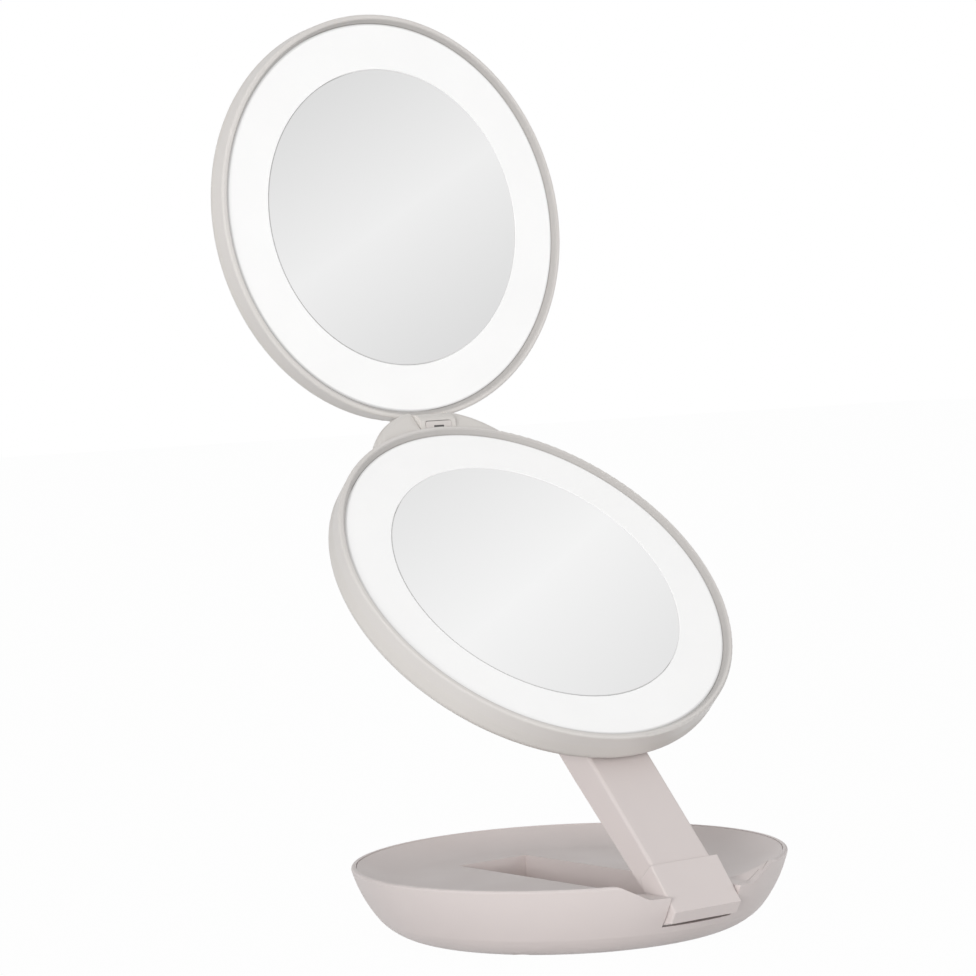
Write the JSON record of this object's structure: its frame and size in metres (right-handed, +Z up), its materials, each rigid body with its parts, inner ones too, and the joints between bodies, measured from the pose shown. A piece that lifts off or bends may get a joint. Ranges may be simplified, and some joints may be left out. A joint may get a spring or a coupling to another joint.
{
  "type": "lighted travel mirror",
  "caption": "Folding travel mirror: a round dished base, a folding arm with an offset swivel, and two hinged round mirrors, each with a lit ring around its glass.",
  "frame": {"origin": "centre of the base's flat underside, where it stands on the table", "axes": "+Z up, -Y towards the user, +X to the user's right"},
  "size_m": [0.127, 0.1473, 0.2736],
  "materials": {
    "casing": "satin",
    "rim": "satin",
    "diffuser": "translucent satin",
    "mirror": "polished",
    "button": "satin",
    "inner_plastic": "matt",
    "foam": "matt",
    "board": "satin",
    "lamp": "clear",
    "switch": "matt",
    "steel": "bright",
    "washer": "waxy",
    "foot_pad": "matt",
    "cell": "gloss"
  },
  "bodies": {
    "base": {"base_shell": "casing", "base_tray": "casing", "base_feet": "foot_pad", "base_screws": "steel", "arm_hinge_pin": "steel", "battery_cell_1": "cell", "battery_cell_2": "cell", "battery_cell_3": "cell", "battery_contacts": "steel", "battery_springs": "steel"},
    "battery_door": {"battery_door": "casing"},
    "arm": {"arm_front_shell": "casing", "arm_back_cover": "casing", "arm_screws": "steel", "swivel_washer": "washer"},
    "lower_head": {"lower_back_shell": "casing", "lower_rim": "rim", "lower_light_guide": "diffuser", "lower_mirror_glass": "mirror", "lower_mirror_pad": "foam", "lower_mirror_tray": "inner_plastic", "lower_lamp_board": "board", "lower_lamps": "lamp", "swivel_retainer": "steel", "swivel_screw": "steel", "head_hinge_pin": "steel"},
    "upper_head": {"upper_back_shell": "casing", "upper_rim": "rim", "upper_light_guide": "diffuser", "upper_mirror_glass": "mirror", "upper_mirror_pad": "foam", "upper_mirror_tray": "inner_plastic", "upper_lamp_board": "board", "upper_lamps": "lamp", "power_switch": "switch"},
    "power_button": {"power_button": "button"}
  },
  "joints": [
    {"name": "arm_fold", "type": "hinge", "parent": "base", "child": "arm", "pos_m": [0, -0.055, 0.012], "axis": [1, 0, 0], "range_deg": [-45, 4]},
    {"name": "head_swivel", "type": "hinge", "parent": "arm", "child": "lower_head", "pos_m": [0, 0.00277, 0.06977], "axis": [0, -0.7071, 0.7071], "range_deg": [0, 180]},
    {"name": "upper_fold", "type": "hinge", "parent": "lower_head", "child": "upper_head", "pos_m": [0, 0.05794, 0.14604], "axis": [1, 0, 0], "range_deg": [-35, 141]},
    {"name": "power_button_press", "type": "slide", "parent": "upper_head", "child": "power_button", "axis": [0, 0.9936, -0.1132], "range_m": [0, 0.0004], "stiffness_N_per_m": 600, "springref_m": -0.001},
    {"name": "battery_door_open", "type": "hinge", "parent": "base", "child": "battery_door", "pos_m": [0.01565, 0, 0.0008], "axis": [0, 1, 0], "range_deg": [0, 40]}
  ]
}
